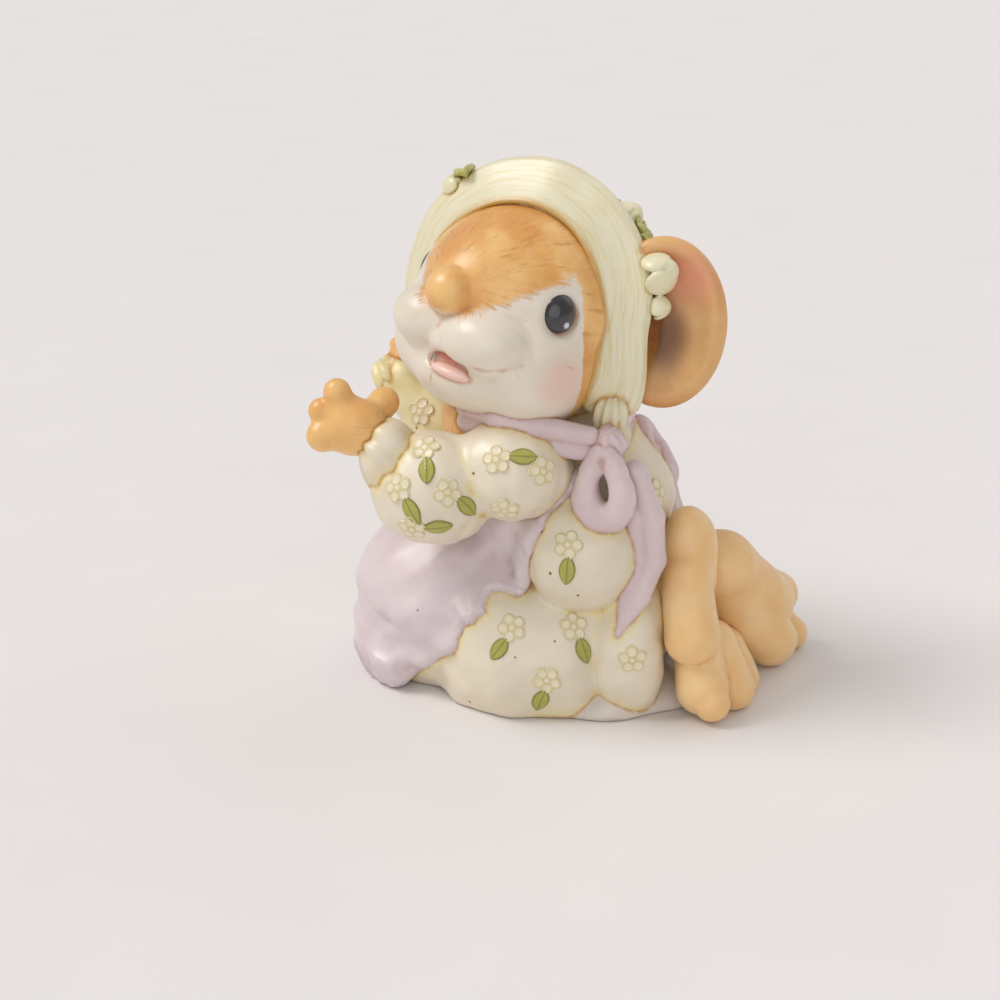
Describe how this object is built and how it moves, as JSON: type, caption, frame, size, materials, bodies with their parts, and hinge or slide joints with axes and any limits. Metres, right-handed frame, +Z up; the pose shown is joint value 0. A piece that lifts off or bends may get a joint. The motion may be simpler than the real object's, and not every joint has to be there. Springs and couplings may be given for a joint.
{
  "type": "mouse figurine",
  "caption": "Kneeling mouse figurine in a flower-sprigged dress, apron and rose-trimmed bonnet, in painted resin.",
  "frame": {"origin": "centre of the flat face under the petticoat, on which the figurine rests", "axes": "+Z up, -Y the way her body faces, +X towards her left side"},
  "size_m": [0.0429, 0.0607, 0.0708],
  "materials": {
    "petticoat": "satin",
    "dress": "satin",
    "apron": "satin",
    "ribbon": "satin",
    "fur": "satin",
    "face": "satin",
    "muzzle": "satin",
    "tongue": "satin",
    "eye": "gloss",
    "ear": "satin",
    "bonnet": "satin",
    "rose": "satin",
    "leaf": "satin"
  },
  "bodies": {
    "figurine": {"apron_panel": "apron", "base_petticoat": "petticoat", "bodice": "dress", "bonnet_brim": "bonnet", "bonnet_crown": "bonnet", "bonnet_leaves": "leaf", "bonnet_roses": "rose", "bonnet_tie_left": "bonnet", "bonnet_tie_right": "bonnet", "bow_knot": "ribbon", "bow_loop_left": "ribbon", "bow_loop_right": "ribbon", "bow_tail_left": "ribbon", "bow_tail_right": "ribbon", "chest_fur": "fur", "cuff_left": "dress", "cuff_right": "dress", "ear_left": "ear", "ear_right": "ear", "eye_left": "eye", "eye_right": "eye", "foot_left": "fur", "foot_right": "fur", "head": "face", "muzzle_left": "muzzle", "muzzle_right": "muzzle", "neck_ribbon_left": "ribbon", "neck_ribbon_right": "ribbon", "nose": "fur", "paw_left": "fur", "paw_right": "fur", "skirt_back": "dress", "skirt_fold_left": "dress", "skirt_fold_right": "dress", "skirt_hem": "dress", "skirt_hip_left": "dress", "skirt_hip_right": "dress", "skirt_lap": "dress", "sleeve_fore_left": "dress", "sleeve_fore_right": "dress", "sleeve_puff_left": "dress", "sleeve_puff_right": "dress", "tongue": "tongue"}
  },
  "joints": []
}
